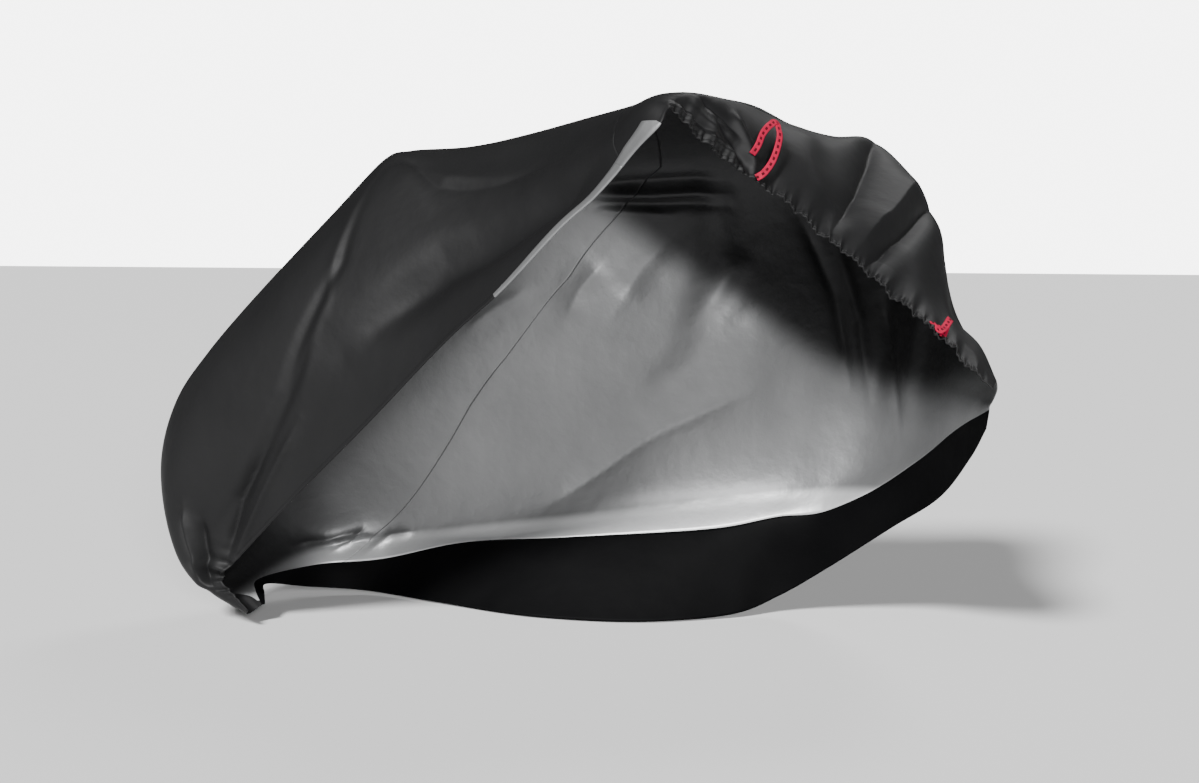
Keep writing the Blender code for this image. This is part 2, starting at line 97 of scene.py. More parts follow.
NEAR_SHOULDER = (
    (0, -0.133, -0.012, 0.026),
    (1, -0.185, -0.020, 0.056),
    (2, -0.262, -0.018, 0.100),
    (4, -0.328, 0.002, 0.300),
    (6, -0.240, 0.040, 0.520),
    (8, 0.005, 0.100, 0.800),
    (9, 0.135, 0.158, 0.938),
    (9.6, 0.207, 0.137, 0.926),
    (10.2, 0.279, 0.116, 0.911),
    (10.9, 0.366, 0.089, 0.903),
    (11.9, 0.489, 0.042, 0.918),
    (13, 0.651, -0.071, 0.962),
    (14, 0.750, -0.130, 1.028),
    (15, 0.800, -0.095, 1.048),
    (17, 0.880, 0.030, 1.005),
    (19, 0.985, 0.140, 0.940),
    (20, 1.050, 0.200, 0.905),
    (22, 1.180, 0.190, 0.775),
    (24, 1.237, 0.140, 0.670),
    (26, 1.320, 0.060, 0.580),
    (27, 1.353, 0.030, 0.535),
)
CREST = (
    (0, -0.139, 0.005, 0.021),
    (1, -0.203, 0.010, 0.049),
    (2, -0.289, 0.021, 0.101),
    (3, -0.338, 0.043, 0.200),
    (4, -0.369, 0.071, 0.333),
    (5, -0.345, 0.096, 0.455),
    (6, -0.280, 0.118, 0.555),
    (8, -0.018, 0.180, 0.842),
    (9, 0.085, 0.203, 0.951),
    (10, 0.150, 0.208, 0.971),
    (11, 0.270, 0.228, 0.978),
    (12, 0.420, 0.175, 1.000),
    (13, 0.580, 0.098, 1.027),
    (14, 0.725, 0.015, 1.048),
    (15, 0.797, -0.025, 1.057),
    (16, 0.845, 0.060, 1.052),
    (17, 0.880, 0.130, 1.041),
    (18, 0.930, 0.262, 1.014),
    (19, 0.995, 0.400, 0.994),
    (20, 1.058, 0.500, 0.985),
    (21, 1.136, 0.460, 0.913),
    (22, 1.204, 0.395, 0.812),
    (23, 1.224, 0.345, 0.745),
    (24, 1.236, 0.305, 0.700),
    (25, 1.260, 0.235, 0.637),
    (26, 1.315, 0.150, 0.592),
    (27, 1.352, 0.070, 0.537),
)
FAR_SHOULDER = (
    (0, -0.135, 0.025, 0.025),
    (1, -0.185, 0.040, 0.052),
    (2, -0.262, 0.065, 0.095),
    (4, -0.335, 0.150, 0.300),
    (6, -0.245, 0.205, 0.520),
    (8, 0.005, 0.260, 0.810),
    (9, 0.095, 0.275, 0.915),
    (11, 0.280, 0.300, 0.940),
    (13, 0.560, 0.380, 0.940),
    (16, 0.840, 0.465, 0.940),
    (19, 0.990, 0.510, 0.950),
    (20, 1.060, 0.522, 0.935),
    (22, 1.190, 0.420, 0.770),
    (24, 1.242, 0.325, 0.655),
    (26, 1.318, 0.165, 0.565),
    (27, 1.352, 0.085, 0.520),
)
FAR_MIDDLE = (
    (0, -0.130, 0.032, 0.030),
    (1, -0.168, 0.052, 0.055),
    (2, -0.215, 0.090, 0.075),
    (4, -0.250, 0.235, 0.170),
    (6, -0.150, 0.330, 0.290),
    (9, 0.150, 0.400, 0.490),
    (12, 0.460, 0.440, 0.560),
    (16, 0.830, 0.490, 0.570),
    (20, 1.060, 0.480, 0.560),
    (22, 1.185, 0.400, 0.550),
    (24, 1.255, 0.285, 0.530),
    (27, 1.345, 0.080, 0.500),
)
BAND_TOP = (
    (0, -0.127, 0.035, 0.032),
    (1, -0.160, 0.060, 0.056),
    (2, -0.187, 0.108, 0.069),
    (4, -0.150, 0.350, 0.090),
    (6, -0.030, 0.418, 0.118),
    (9.4, 0.270, 0.428, 0.136),
    (10.8, 0.399, 0.432, 0.163),
    (12.2, 0.546, 0.447, 0.202),
    (14.5, 0.750, 0.472, 0.235),
    (18, 0.935, 0.472, 0.262),
    (20, 1.060, 0.445, 0.314),
    (22, 1.172, 0.365, 0.374),
    (24, 1.255, 0.240, 0.440),
    (27, 1.340, 0.074, 0.490),
)
SKIRT_SEAM = (
    (0, -0.125, 0.037, 0.034),
    (1, -0.155, 0.065, 0.056),
    (2, -0.180, 0.112, 0.067),
    (4, -0.150, 0.320, 0.064),
    (6, -0.020, 0.390, 0.072),
    (8, 0.156, 0.400, 0.115),
    (11, 0.420, 0.378, 0.148),
    (14, 0.730, 0.413, 0.177),
    (17, 0.880, 0.438, 0.208),
    (19, 0.985, 0.430, 0.228),
    (20, 1.060, 0.400, 0.266),
    (22, 1.180, 0.330, 0.352),
    (24, 1.260, 0.220, 0.425),
    (27, 1.340, 0.072, 0.485),
)
FAR_HEM = (
    (0, -0.120, 0.042, 0.036),
    (1, -0.140, 0.075, 0.052),
    (2, -0.165, 0.120, 0.058),
    (4, -0.150, 0.285, 0.022),
    (6, -0.040, 0.355, 0.006),
    (8, 0.130, 0.317, 0.002),
    (11, 0.419, 0.248, 0.000),
    (13, 0.620, 0.272, 0.000),
    (15, 0.790, 0.370, 0.006),
    (17, 0.877, 0.440, 0.037),
    (19, 0.975, 0.440, 0.099),
    (21, 1.120, 0.375, 0.205),
    (23, 1.231, 0.260, 0.291),
    (25, 1.300, 0.145, 0.385),
    (27, 1.335, 0.075, 0.450),
)
LINES = (NEAR_HEM, NEAR_SHOULDER, CREST, FAR_SHOULDER, FAR_MIDDLE, BAND_TOP, SKIRT_SEAM, FAR_HEM)
# Where each line lies across the cloth, from the near hem (0) over the crest to the far hem (1)
ACROSS = (0.0, 0.28, 0.40, 0.50, 0.70, 0.86, 0.90, 1.0)
AT_CREST = ACROSS[2]
AT_SKIRT = ACROSS[6]

# The seam between the rear and the front half: place across, station
SIDE_SEAM = (
    (0.00, 12.75),
    (0.28, 13.30),
    (0.40, 13.80),
    (0.50, 13.60),
    (0.57, 12.70),
    (0.63, 11.80),
    (0.70, 10.15),
    (0.73, 9.20),
    (0.86, 5.60),
    (0.90, 4.90),
)

# The near hem is turned outwards. Rows: station, width of the turned strip
CUFF_WIDTH = (
    (0.0, 0.006),
    (9.8, 0.006),
    (10.7, 0.013),
    (11.6, 0.022),
    (12.6, 0.028),
    (13.1, 0.038),
    (13.7, 0.040),
    (13.9, 0.006),
    (27.0, 0.006),
)
CUFF_GAP = 0.002
HEM_ROWS = 6  # rows of cloth before the hem's own edge
PLAIN_HEM = 0.008  # a turned strip narrower than this is black on both sides
PAINTED_SHADE_STATION = 1.1  # before this station, where the cloth is bunched up, its inside is black too: painted shade

# Gathers of the elastic hem. Rows: first and last station, pitch, height, reach from the hem
GATHERS = (
    (14.6, 26.6, 0.060, 0.0032, 0.060),
    (0.6, 3.4, 0.034, 0.0055, 0.060),
)
FINE_GATHERS = (
    (14.4, 26.8, 0.0137, 0.0020, 0.018),
    (14.4, 26.8, 0.0290, 0.0018, 0.040),
    (0.2, 2.6, 0.0160, 0.0030, 0.030),
)

# Folds: half width, height (outwards, or below zero inwards), sharpness (2 soft, 1 a crease), then
# places (station, across)
FOLDS = (
    (0.014, -0.006, 2.0, ((8.6, 0.28), (8.0, 0.20), (6.2, 0.125), (4.4, 0.09), (2.8, 0.092))),
    (0.012, -0.005, 2.0, ((7.3, 0.15), (6.1, 0.115), (4.5, 0.08), (3.0, 0.04))),
    (0.050, -0.022, 2.0, ((7.2, 0.10), (8.8, 0.085), (10.6, 0.11), (11.8, 0.118), (12.8, 0.10))),
    (0.045, 0.016, 1.8, (
        (9.0, 0.29), (10.0, 0.265), (10.7, 0.275),
        (11.7, 0.272), (12.8, 0.195), (13.5, 0.10),
    )),
    (0.040, 0.008, 2.0, ((18.5, 0.36), (19.0, 0.275), (19.45, 0.145), (19.7, 0.07))),
    (0.028, -0.020, 1.1, (
        (20.05, 0.40), (20.35, 0.323), (20.4, 0.27),
        (20.3, 0.15), (20.05, 0.02),
    )),
    (0.045, 0.020, 1.2, ((21.25, 0.39), (21.2, 0.312), (21.05, 0.228), (20.9, 0.083), (20.8, 0.0))),
    (0.022, -0.022, 1.2, (
        (21.7, 0.398), (21.72, 0.315), (21.6, 0.238),
        (21.45, 0.105), (21.2, 0.0),
    )),
    (0.012, 0.009, 2.0, ((15.6, 0.18), (16.6, 0.09), (17.5, 0.01))),
    (0.012, -0.009, 2.0, ((16.1, 0.26), (17.0, 0.13), (17.6, 0.02))),
    (0.012, 0.009, 2.0, ((16.8, 0.32), (17.4, 0.18), (17.7, 0.06))),
    (0.014, 0.010, 1.6, ((12.4, 0.53), (13.4, 0.523), (14.3, 0.518), (15.0, 0.52))),
    (0.011, -0.011, 1.6, ((12.3, 0.542), (13.4, 0.541), (14.3, 0.536), (15.0, 0.538))),
    (0.012, 0.009, 1.6, ((12.2, 0.553), (13.4, 0.553), (14.4, 0.551), (15.0, 0.553))),
    (0.030, 0.014, 1.0, (
        (10.4, 0.825), (11.7, 0.805), (13.1, 0.783),
        (14.5, 0.764), (15.6, 0.748),
    )),
    (0.040, -0.012, 2.0, ((14.6, 0.50), (14.8, 0.62), (14.2, 0.72))),
    (0.035, 0.012, 2.0, ((20.6, 0.50), (20.4, 0.62), (20.2, 0.78))),
    (0.030, -0.010, 2.0, ((22.0, 0.52), (21.6, 0.66), (21.3, 0.80))),
)
# Finer creases that the solids don't have, in the same columns
CREASES = (
    (0.035, -0.012, 1.2, ((12.5, 0.615), (12.0, 0.64), (11.6, 0.672))),
    (0.030, 0.010, 1.6, ((13.8, 0.59), (13.2, 0.62), (12.7, 0.66))),
    (0.012, -0.006, 1.5, ((9.5, 0.665), (10.3, 0.65), (11.0, 0.64))),
    (0.045, -0.012, 2.0, ((15.9, 0.645), (15.1, 0.69), (14.1, 0.725), (12.8, 0.76))),
    (0.035, -0.010, 1.6, ((15.6, 0.60), (15.0, 0.635), (14.3, 0.68))),
    (0.012, 0.008, 1.6, ((17.0, 0.57), (18.5, 0.65), (19.2, 0.74))),
    (0.012, -0.008, 1.6, ((18.5, 0.59), (19.6, 0.67), (20.0, 0.76))),
    (0.014, 0.008, 1.6, ((20.2, 0.645), (20.8, 0.725), (21.2, 0.805))),
    (0.007, -0.005, 1.6, ((12.3, 0.562), (13.0, 0.563), (13.8, 0.565))),
    (0.008, 0.006, 1.4, ((13.0, 0.497), (14.0, 0.497), (15.0, 0.495))),
    (0.012, -0.015, 1.3, ((5.3, 0.10), (4.2, 0.083), (2.8, 0.03))),
    (0.012, 0.011, 1.3, ((5.9, 0.083), (4.4, 0.05), (3.0, 0.01))),
    (0.013, -0.018, 1.3, ((3.6, 0.14), (2.6, 0.10), (1.5, 0.13))),
    (0.013, 0.013, 1.3, ((3.7, 0.19), (2.6, 0.15), (1.5, 0.20))),
    (0.012, -0.013, 1.2, ((3.6, 0.80), (4.3, 0.83), (5.1, 0.835), (5.9, 0.85))),
    (0.010, 0.010, 1.2, ((3.8, 0.84), (4.6, 0.855), (5.4, 0.86), (6.2, 0.87))),
    (0.009, -0.010, 1.2, ((4.4, 0.87), (5.0, 0.86), (5.6, 0.83))),
    (0.011, -0.010, 1.2, ((5.6, 0.88), (6.3, 0.86), (7.0, 0.855))),
    (0.022, -0.008, 1.4, ((9.1, 0.30), (9.7, 0.23), (11.1, 0.25), (12.4, 0.29))),
    (0.030, -0.009, 1.5, ((7.7, 0.09), (8.9, 0.07), (10.4, 0.085), (11.7, 0.09), (12.7, 0.16))),
    (0.012, 0.004, 1.4, ((8.9, 0.33), (8.2, 0.24), (7.6, 0.17), (6.2, 0.10))),
    (0.010, 0.007, 1.4, ((14.6, 0.10), (15.7, 0.06), (16.3, 0.055), (17.0, 0.045))),
    (0.008, -0.006, 1.2, ((14.8, 0.16), (15.9, 0.10), (16.5, 0.09), (17.1, 0.08))),
    (0.016, 0.008, 1.4, ((16.0, 0.21), (16.6, 0.195), (17.1, 0.15))),
    (0.012, -0.008, 1.2, ((15.6, 0.30), (16.6, 0.25), (17.2, 0.18))),
)

# Webbing loops sewn to the gathered hem
WEBBING_WIDTH = 0.013
WEBBING_THICKNESS = 0.0018
# Rows: station, place across, height above the cloth
UPPER_LOOP = (
    (17.74, 0.005, 0.0071),
    (17.92, 0.050, 0.0130),
    (18.06, 0.120, 0.0200),
    (18.07, 0.190, 0.0260),
    (18.00, 0.255, 0.0310),
    (17.85, 0.288, 0.0330),
    (17.68, 0.280, 0.0320),
    (17.58, 0.235, 0.0270),
    (17.52, 0.170, 0.0180),
    (17.48, 0.110, 0.0062),
)
# This one is pressed flat: its first half lies under its second half
LOWER_LOOP = (
    (24.50, 0.005, 0.0053),
    (24.50, 0.060, 0.0052),
    (24.50, 0.115, 0.0060),
    (24.50, 0.160, 0.0085),
    (24.50, 0.178, 0.0135),
    (24.49, 0.160, 0.0185),
    (24.46, 0.115, 0.0195),
    (24.42, 0.060, 0.0175),
    (24.36, 0.005, 0.0165),
    (24.27, -0.028, 0.0155),
    (24.12, -0.014, 0.0135),
    (23.98, 0.004, 0.0100),
)
UPPER_FLAT_FROM = 0  # the row from which a strap's width lies across its own way over the cloth,
LOWER_FLAT_FROM = 6  # and before which it lies along the hem


def column(rows, index):
    return np.array([row[index] for row in rows], float)


def tangents(knots, values):
    """Slopes of a smooth curve through the values, with the knots on the first axis."""
    steps = np.diff(knots, axis=0)[..., None]
    slopes = np.diff(values, axis=0) / steps
    middle = (slopes[:-1] * steps[1:] + slopes[1:] * steps[:-1]) / (steps[:-1] + steps[1:])
    return np.concatenate([slopes[:1], middle, slopes[-1:]])


def cubic(start, end, slope_start, slope_end, step, where):
    """The cubic from start to end over a step, at a share of the step."""
    left = 1 - where
    ends = (1 + 2 * where) * left**2 * start + (3 - 2 * where) * where**2 * end
    return ends + step * (where * left**2 * slope_start - where**2 * left * slope_end)


def along(rows, stations):
    """Places on a lengthwise line at the stations."""
    knots = column(rows, 0)
    places = np.array([row[1:] for row in rows], float)
    slopes = tangents(knots, places)
    first = np.clip(np.searchsorted(knots, stations, side="right") - 1, 0, len(knots) - 2)
    step = (knots[first + 1] - knots[first])[:, None]
    where = (stations - knots[first])[:, None] / step
    return cubic(places[first], places[first + 1], slopes[first], slopes[first + 1], step, where)


def smooth_cloth(stations, across):
    """Places on the cloth without its folds, for two arrays of one length."""
    lines = np.array([along(rows, stations) for rows in LINES])
    spans = np.linalg.norm(np.diff(lines, axis=0), axis=2) ** SPAN_POWER
    knots = np.concatenate([np.zeros((1, len(stations))), np.cumsum(spans, axis=0)])
    slopes = tangents(knots, lines)
    bounds = np.array(ACROSS)
    first = np.clip(np.searchsorted(bounds, across, side="right") - 1, 0, len(bounds) - 2)
    each = np.arange(len(stations))
    where = ((across - bounds[first]) / (bounds[first + 1] - bounds[first]))[:, None]
    step = (knots[first + 1, each] - knots[first, each])[:, None]
    return cubic(
        lines[first, each],
        lines[first + 1, each],
        slopes[first, each],
        slopes[first + 1, each],
        step,
        where,
    )


def outward(stations, across):
    """Unit normals of the smooth cloth, away from the bicycle."""
    small = 0.004
    low = np.maximum(across - small, 0)
    high = np.minimum(across + small, 1)
    behind = np.maximum(stations - small, 0)
    ahead = np.minimum(stations + small, LAST_STATION)
    over = smooth_cloth(stations, high) - smooth_cloth(stations, low)
    forward = smooth_cloth(ahead, across) - smooth_cloth(behind, across)
    normal = np.cross(forward, over)
    return normal / np.linalg.norm(normal, axis=1)[:, None]


def distance_to_path(points, path):
    """Distance from each point to a polyline, and the share of its length where it is nearest."""
    lengths = np.linalg.norm(np.diff(path, axis=0), axis=1)
    starts = np.concatenate([[0], np.cumsum(lengths)])
    nearest = np.full(len(points), np.inf)
    share = np.zeros(len(points))
    for index, length in enumerate(lengths):
        ray = (path[index + 1] - path[index]) / length
        run = np.clip((points - path[index]) @ ray, 0, length)
        gap = np.linalg.norm(points - path[index] - run[:, None] * ray, axis=1)
        closer = gap < nearest
        nearest[closer] = gap[closer]
        share[closer] = (starts[index] + run[closer]) / starts[-1]
    return nearest, share


def fold_height(points):
    """Height of all the folds and creases at points of the smooth cloth."""
    height = np.zeros(len(points))
    for half_width, rise, sharpness, places in FOLDS + CREASES:
        marks = np.array(places, float)
        steps = np.linspace(0, len(marks) - 1, 6 * (len(marks) - 1) + 1)
        stations = np.interp(steps, range(len(marks)), marks[:, 0])
        across = np.interp(steps, range(len(marks)), marks[:, 1])
        gap, share = distance_to_path(points, smooth_cloth(stations, across))
        fade = np.clip(4 * np.minimum(share, 1 - share), 0, 1)
        fade = FOLD_END + (1 - FOLD_END) * (3 - 2 * fade) * fade**2
        height += rise * fade * np.exp(-((gap / half_width) ** sharpness))
    return height


def hem_lengths():
    """Stations, and the length of the near hem up to each."""
    stations = np.linspace(0, LAST_STATION, 541)
    steps = np.linalg.norm(np.diff(along(NEAR_HEM, stations), axis=0), axis=1)
    return stations, np.concatenate([[0], np.cumsum(steps)])


def gather_height(stations, points, gathers):
    """Height of the ripples that the elastic draws into the near hem."""
    table, lengths = hem_lengths()
    run = np.interp(stations, table, lengths)
    reach_in = np.linalg.norm(points - along(NEAR_HEM, stations), axis=1)
    height = np.zeros(len(points))
    share, finer, shift = RIPPLE
    for first, last, pitch, rise, reach in gathers:
        phase = 2 * math.pi * run / pitch
        wave = np.sin(phase) + share * np.sin(finer * phase + shift)
        ends = np.clip(stations - first, 0, 1) * np.clip(last - stations, 0, 1)
        height += rise * ends * wave * np.exp(-((reach_in / reach) ** 2))
    return height


def cloth(stations, across):
    """Places on the outside of the draped cloth, and its outward normals."""
    points = smooth_cloth(stations, across)
    normals = outward(stations, across)
    height = fold_height(points)
    near = across < AT_CREST
    height[near] += gather_height(stations[near], points[near], GATHERS + FINE_GATHERS)
    return points + height[:, None] * normals, normals


def hem_rows(stations):
    """Rows of the hem that is turned outwards, from its free edge to the fold at the hem."""
    width = np.interp(stations, column(CUFF_WIDTH, 0), column(CUFF_WIDTH, 1))
    shoulder = along(NEAR_SHOULDER, stations) - along(NEAR_HEM, stations)
    share = width / np.linalg.norm(shoulder, axis=1) * ACROSS[1]
    rows = []
    for part in (1.0, 0.75, 0.5, 0.25, 0.0):
        points, normals = cloth(stations, share * part)
        rows.append(points + CUFF_GAP * normals)
    hem, normals = cloth(stations, np.zeros_like(stations))
    inward, _ = cloth(stations, np.full_like(stations, 0.01))
    back = hem - inward
    back /= np.linalg.norm(back, axis=1)[:, None]
    rows.append(hem + CUFF_GAP / 2 * (normals + back))
    return rows


def spaced_stations(first, last, count, upper_share):
    """Stations that part the near hem, and a share of the crest and far hem, into even steps."""
    fine = np.linspace(first, last, 400)
    length = np.zeros(len(fine))
    for rows, share in ((NEAR_HEM, 1.0), (CREST, upper_share), (FAR_HEM, upper_share)):
        steps = np.linalg.norm(np.diff(along(rows, fine), axis=0), axis=1)
        length[1:] += share * np.cumsum(steps)
    return np.interp(np.linspace(0, length[-1], count), length, fine)


def seam_station(across):
    return float(np.interp(across, column(SIDE_SEAM, 0), column(SIDE_SEAM, 1)))


def columns_between(first, last, count):
    """A rule for the stations of a panel's columns where a row crosses them."""

    def stations(across):
        start = seam_station(across) if first is None else first
        end = seam_station(across) if last is None else last
        return spaced_stations(start, end, int(count * DETAIL), min(across / AT_CREST, 1.0))

    return stations


def panel_grid(rows, columns, with_hem):
    lines = hem_rows(columns(0.0)) if with_hem else []
    for across in rows:
        stations = columns(across)
        lines.append(cloth(stations, np.full_like(stations, across))[0])
    return np.array(lines)


def grid_normals(grid):
    """Unit normals at the grid's places, each the mean of those of the faces round it."""
    ahead = grid[1:, 1:] - grid[:-1, :-1]
    aside = grid[1:, :-1] - grid[:-1, 1:]
    faces = np.cross(ahead, aside)
    faces /= np.linalg.norm(faces, axis=2)[..., None]
    normals = np.zeros_like(grid)
    for rows in (slice(0, -1), slice(1, None)):
        for columns in (slice(0, -1), slice(1, None)):
            normals[rows, columns] += faces
    return normals / np.linalg.norm(normals, axis=2)[..., None]


def sheet(name, outside, inside, outer, inner, black_hem_and_painted_shade=None):
    """A sheet of cloth, lofted between its outside and its inside, with lengths as its UV map."""
    rows, columns = outside.shape[:2]
    index = np.arange(rows * columns).reshape(rows, columns)
    skin = np.stack([index[:-1, :-1], index[:-1, 1:], index[1:, 1:], index[1:, :-1]], axis=2)
    skin = skin.reshape(-1, 4)
    rim = np.concatenate([index[0], index[1:, -1], index[-1, -2::-1], index[-2:0:-1, 0]])
    after = np.roll(rim, -1)
    count = rows * columns
    walls = np.stack([after, rim, rim + count, after + count], axis=1)
    faces = np.concatenate([skin, skin[:, [0, 3, 2, 1]] + count, walls])
    places = np.concatenate([outside.reshape(-1, 3), inside.reshape(-1, 3)]) - CENTRE
    mesh = bpy.data.meshes.new(name)
    mesh.from_pydata(places.tolist(), [], faces.tolist())
    mesh.materials.append(outer)
    mesh.materials.append(inner)
    slots = np.zeros(len(faces), np.int32)
    slots[len(skin) : 2 * len(skin)] = 1
    if black_hem_and_painted_shade is not None:
        slots[len(skin) : 2 * len(skin)][black_hem_and_painted_shade.ravel()] = 0
    mesh.polygons.foreach_set("material_index", slots)
    across = np.linalg.norm(np.diff(outside, axis=0), axis=2).mean(axis=1)
    forward = np.linalg.norm(np.diff(outside, axis=1), axis=2).mean(axis=0)
    u, v = np.meshgrid(
        np.concatenate([[0], np.cumsum(forward)]), np.concatenate([[0], np.cumsum(across)])
    )
    lengths = np.stack([u.ravel(), v.ravel()], axis=1)
    lengths = np.concatenate([lengths, lengths])
    corners = np.empty(len(mesh.loops), np.int32)
    mesh.loops.foreach_get("vertex_index", corners)
    layer = mesh.uv_layers.new(name="lengths")
    layer.data.foreach_set("uv", lengths[corners].astype(np.float32).ravel())
    mesh.shade_smooth()
    made = bpy.data.objects.new(name, mesh)
    bpy.context.scene.collection.objects.link(made)
    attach(made, "root")
    return made


# Materials

# The coating's colour has painted shade and painted light: it drifts to a dark tone at the rear, in
# the lowest corner there, and in the top and the front, where the hood's hem casts its painted
# shadow, and to a pale one along its lower edge as painted light. Both are fixed to the object.
# Rows, in order: tone, way, first and last place along the way
PAINTED_SHADE_TONE = (0.022, 0.022, 0.023, 1)
PAINTED_LIGHT_TONE = (0.55, 0.555, 0.56, 1)
PAINTED_SHADE_AND_LIGHT = (
    (PAINTED_SHADE_TONE, (-1.0, 0.0, 0.5), 0.45, 0.85),
    (PAINTED_LIGHT_TONE, (0.15, 0.0, -1.0), -0.205, -0.183),
    (PAINTED_SHADE_TONE, (-1.0, 0.0, 0.0), 0.61, 0.69),
    (PAINTED_SHADE_TONE, (0.423, 0.499, 0.757), 0.73, 0.80),
)
CRINKLE_DETAIL = 3.0
# The thread on the webbing: width, length from one stitch to the next, and share that shows
STITCH_WIDTH = 0.0045
STITCH_PITCH = 0.0130
STITCH_SHARE = 0.50


def new_material(name):
    made = bpy.data.materials.new(name)
    made.use_nodes = True
    return made, made.node_tree.nodes, made.node_tree.links


def weave_bump(nodes, links, pitch, strength, distance):
    """A plain weave of the pitch, from the sheet's own lengths."""
    lengths = nodes.new("ShaderNodeUVMap")
    lengths.uv_map = "lengths"
    height = None
    for direction in ("X", "Y"):
        wave = nodes.new("ShaderNodeTexWave")
        wave.wave_type = "BANDS"
        wave.bands_direction = direction
        wave.inputs["Scale"].default_value = math.pi / (10 * pitch)
        links.new(lengths.outputs["UV"], wave.inputs["Vector"])
        if height is None:
            height = wave.outputs["Fac"]
        else:
            product = nodes.new("ShaderNodeMath")
            product.operation = "MULTIPLY"
            links.new(height, product.inputs[0])
            links.new(wave.outputs["Fac"], product.inputs[1])
            height = product.outputs["Value"]
    bump = nodes.new("ShaderNodeBump")
    bump.inputs["Strength"].default_value = strength
    bump.inputs["Distance"].default_value = distance
    links.new(height, bump.inputs["Height"])
    return bump


def crinkle_bump(nodes, links, scale, strength, distance):
    """Soft small wrinkles at random."""
    place = nodes.new("ShaderNodeTexCoord")
    noise = nodes.new("ShaderNodeTexNoise")
    noise.inputs["Scale"].default_value = scale
    noise.inputs["Detail"].default_value = CRINKLE_DETAIL
    noise.inputs["Roughness"].default_value = 0.5
    links.new(place.outputs["Object"], noise.inputs["Vector"])
    bump = nodes.new("ShaderNodeBump")
    bump.inputs["Strength"].default_value = strength
    bump.inputs["Distance"].default_value = distance
    links.new(noise.outputs["Fac"], bump.inputs["Height"])
    return bump


def mottled(nodes, links, low, high, scale):
    """A colour that drifts a little over the cloth."""
    place = nodes.new("ShaderNodeTexCoord")
    noise = nodes.new("ShaderNodeTexNoise")
    noise.inputs["Scale"].default_value = scale
    noise.inputs["Detail"].default_value = 4.0
    links.new(place.outputs["Object"], noise.inputs["Vector"])
    ramp = nodes.new("ShaderNodeValToRGB")
    ramp.color_ramp.elements[0].position = 0.35
    ramp.color_ramp.elements[0].color = low
    ramp.color_ramp.elements[1].position = 0.65
    ramp.color_ramp.elements[1].color = high
    links.new(noise.outputs["Fac"], ramp.inputs["Fac"])
    return ramp.outputs["Color"]


def black_oxford():
    made, nodes, links = new_material("Black coated oxford")
    shader = nodes["Principled BSDF"]
    colour = mottled(nodes, links, (0.006, 0.006, 0.0063, 1), (0.0075, 0.0075, 0.0078, 1), 6)
    links.new(colour, shader.inputs["Base Color"])
    shader.inputs["Roughness"].default_value = 0.55
    shader.inputs["Specular IOR Level"].default_value = 0.17
    crinkle = crinkle_bump(nodes, links, 28, 0.25, 0.004)
    links.new(crinkle.outputs["Normal"], shader.inputs["Normal"])
    return made


def drifting(nodes, links, colour, other, way, first, last):
    """The colour, drifting to another one between two places along a way."""
    place = nodes.new("ShaderNodeTexCoord")
    along_way = nodes.new("ShaderNodeVectorMath")
    along_way.operation = "DOT_PRODUCT"
    along_way.inputs[1].default_value = way
    links.new(place.outputs["Object"], along_way.inputs[0])
    share = nodes.new("ShaderNodeMapRange")
    share.interpolation_type = "SMOOTHSTEP"
    share.inputs["From Min"].default_value = first
    share.inputs["From Max"].default_value = last
    links.new(along_way.outputs["Value"], share.inputs["Value"])
    mix = nodes.new("ShaderNodeMix")
    mix.data_type = "RGBA"
    links.new(share.outputs["Result"], mix.inputs["Factor"])
    links.new(colour, mix.inputs["A"])
    mix.inputs["B"].default_value = other
    return mix.outputs["Result"]


def silver_coating():
    made, nodes, links = new_material("Silver coating")
    shader = nodes["Principled BSDF"]
    colour = mottled(nodes, links, (0.155, 0.157, 0.159, 1), (0.195, 0.197, 0.199, 1), 4)
    # painted shade and painted light laid over the coating's own mottled colour
    for tone, way, first, last in PAINTED_SHADE_AND_LIGHT:
        colour = drifting(nodes, links, colour, tone, way, first, last)
    links.new(colour, shader.inputs["Base Color"])
    shader.inputs["Roughness"].default_value = 0.5
    shader.inputs["Metallic"].default_value = 0.6
    crinkle = crinkle_bump(nodes, links, 30, 0.35, 0.005)
    links.new(crinkle.outputs["Normal"], shader.inputs["Normal"])
    return made


def black_polyester():
    made, nodes, links = new_material("Black uncoated polyester")
    shader = nodes["Principled BSDF"]
    colour = mottled(nodes, links, (0.0012, 0.0012, 0.0014, 1), (0.0020, 0.0020, 0.0022, 1), 6)
    links.new(colour, shader.inputs["Base Color"])
    shader.inputs["Roughness"].default_value = 0.6
    shader.inputs["Specular IOR Level"].default_value = 0.04
    crinkle = crinkle_bump(nodes, links, 22, 0.25, 0.004)
    links.new(crinkle.outputs["Normal"], shader.inputs["Normal"])
    return made


def calculated(nodes, links, operation, value, *others):
    """The output of one Math node: the value, then numbers in its other sockets."""
    made = nodes.new("ShaderNodeMath")
    made.operation = operation
    links.new(value, made.inputs[0])
    for socket, other in zip(list(made.inputs)[1:], others):
        socket.default_value = other
    return made.outputs["Value"]


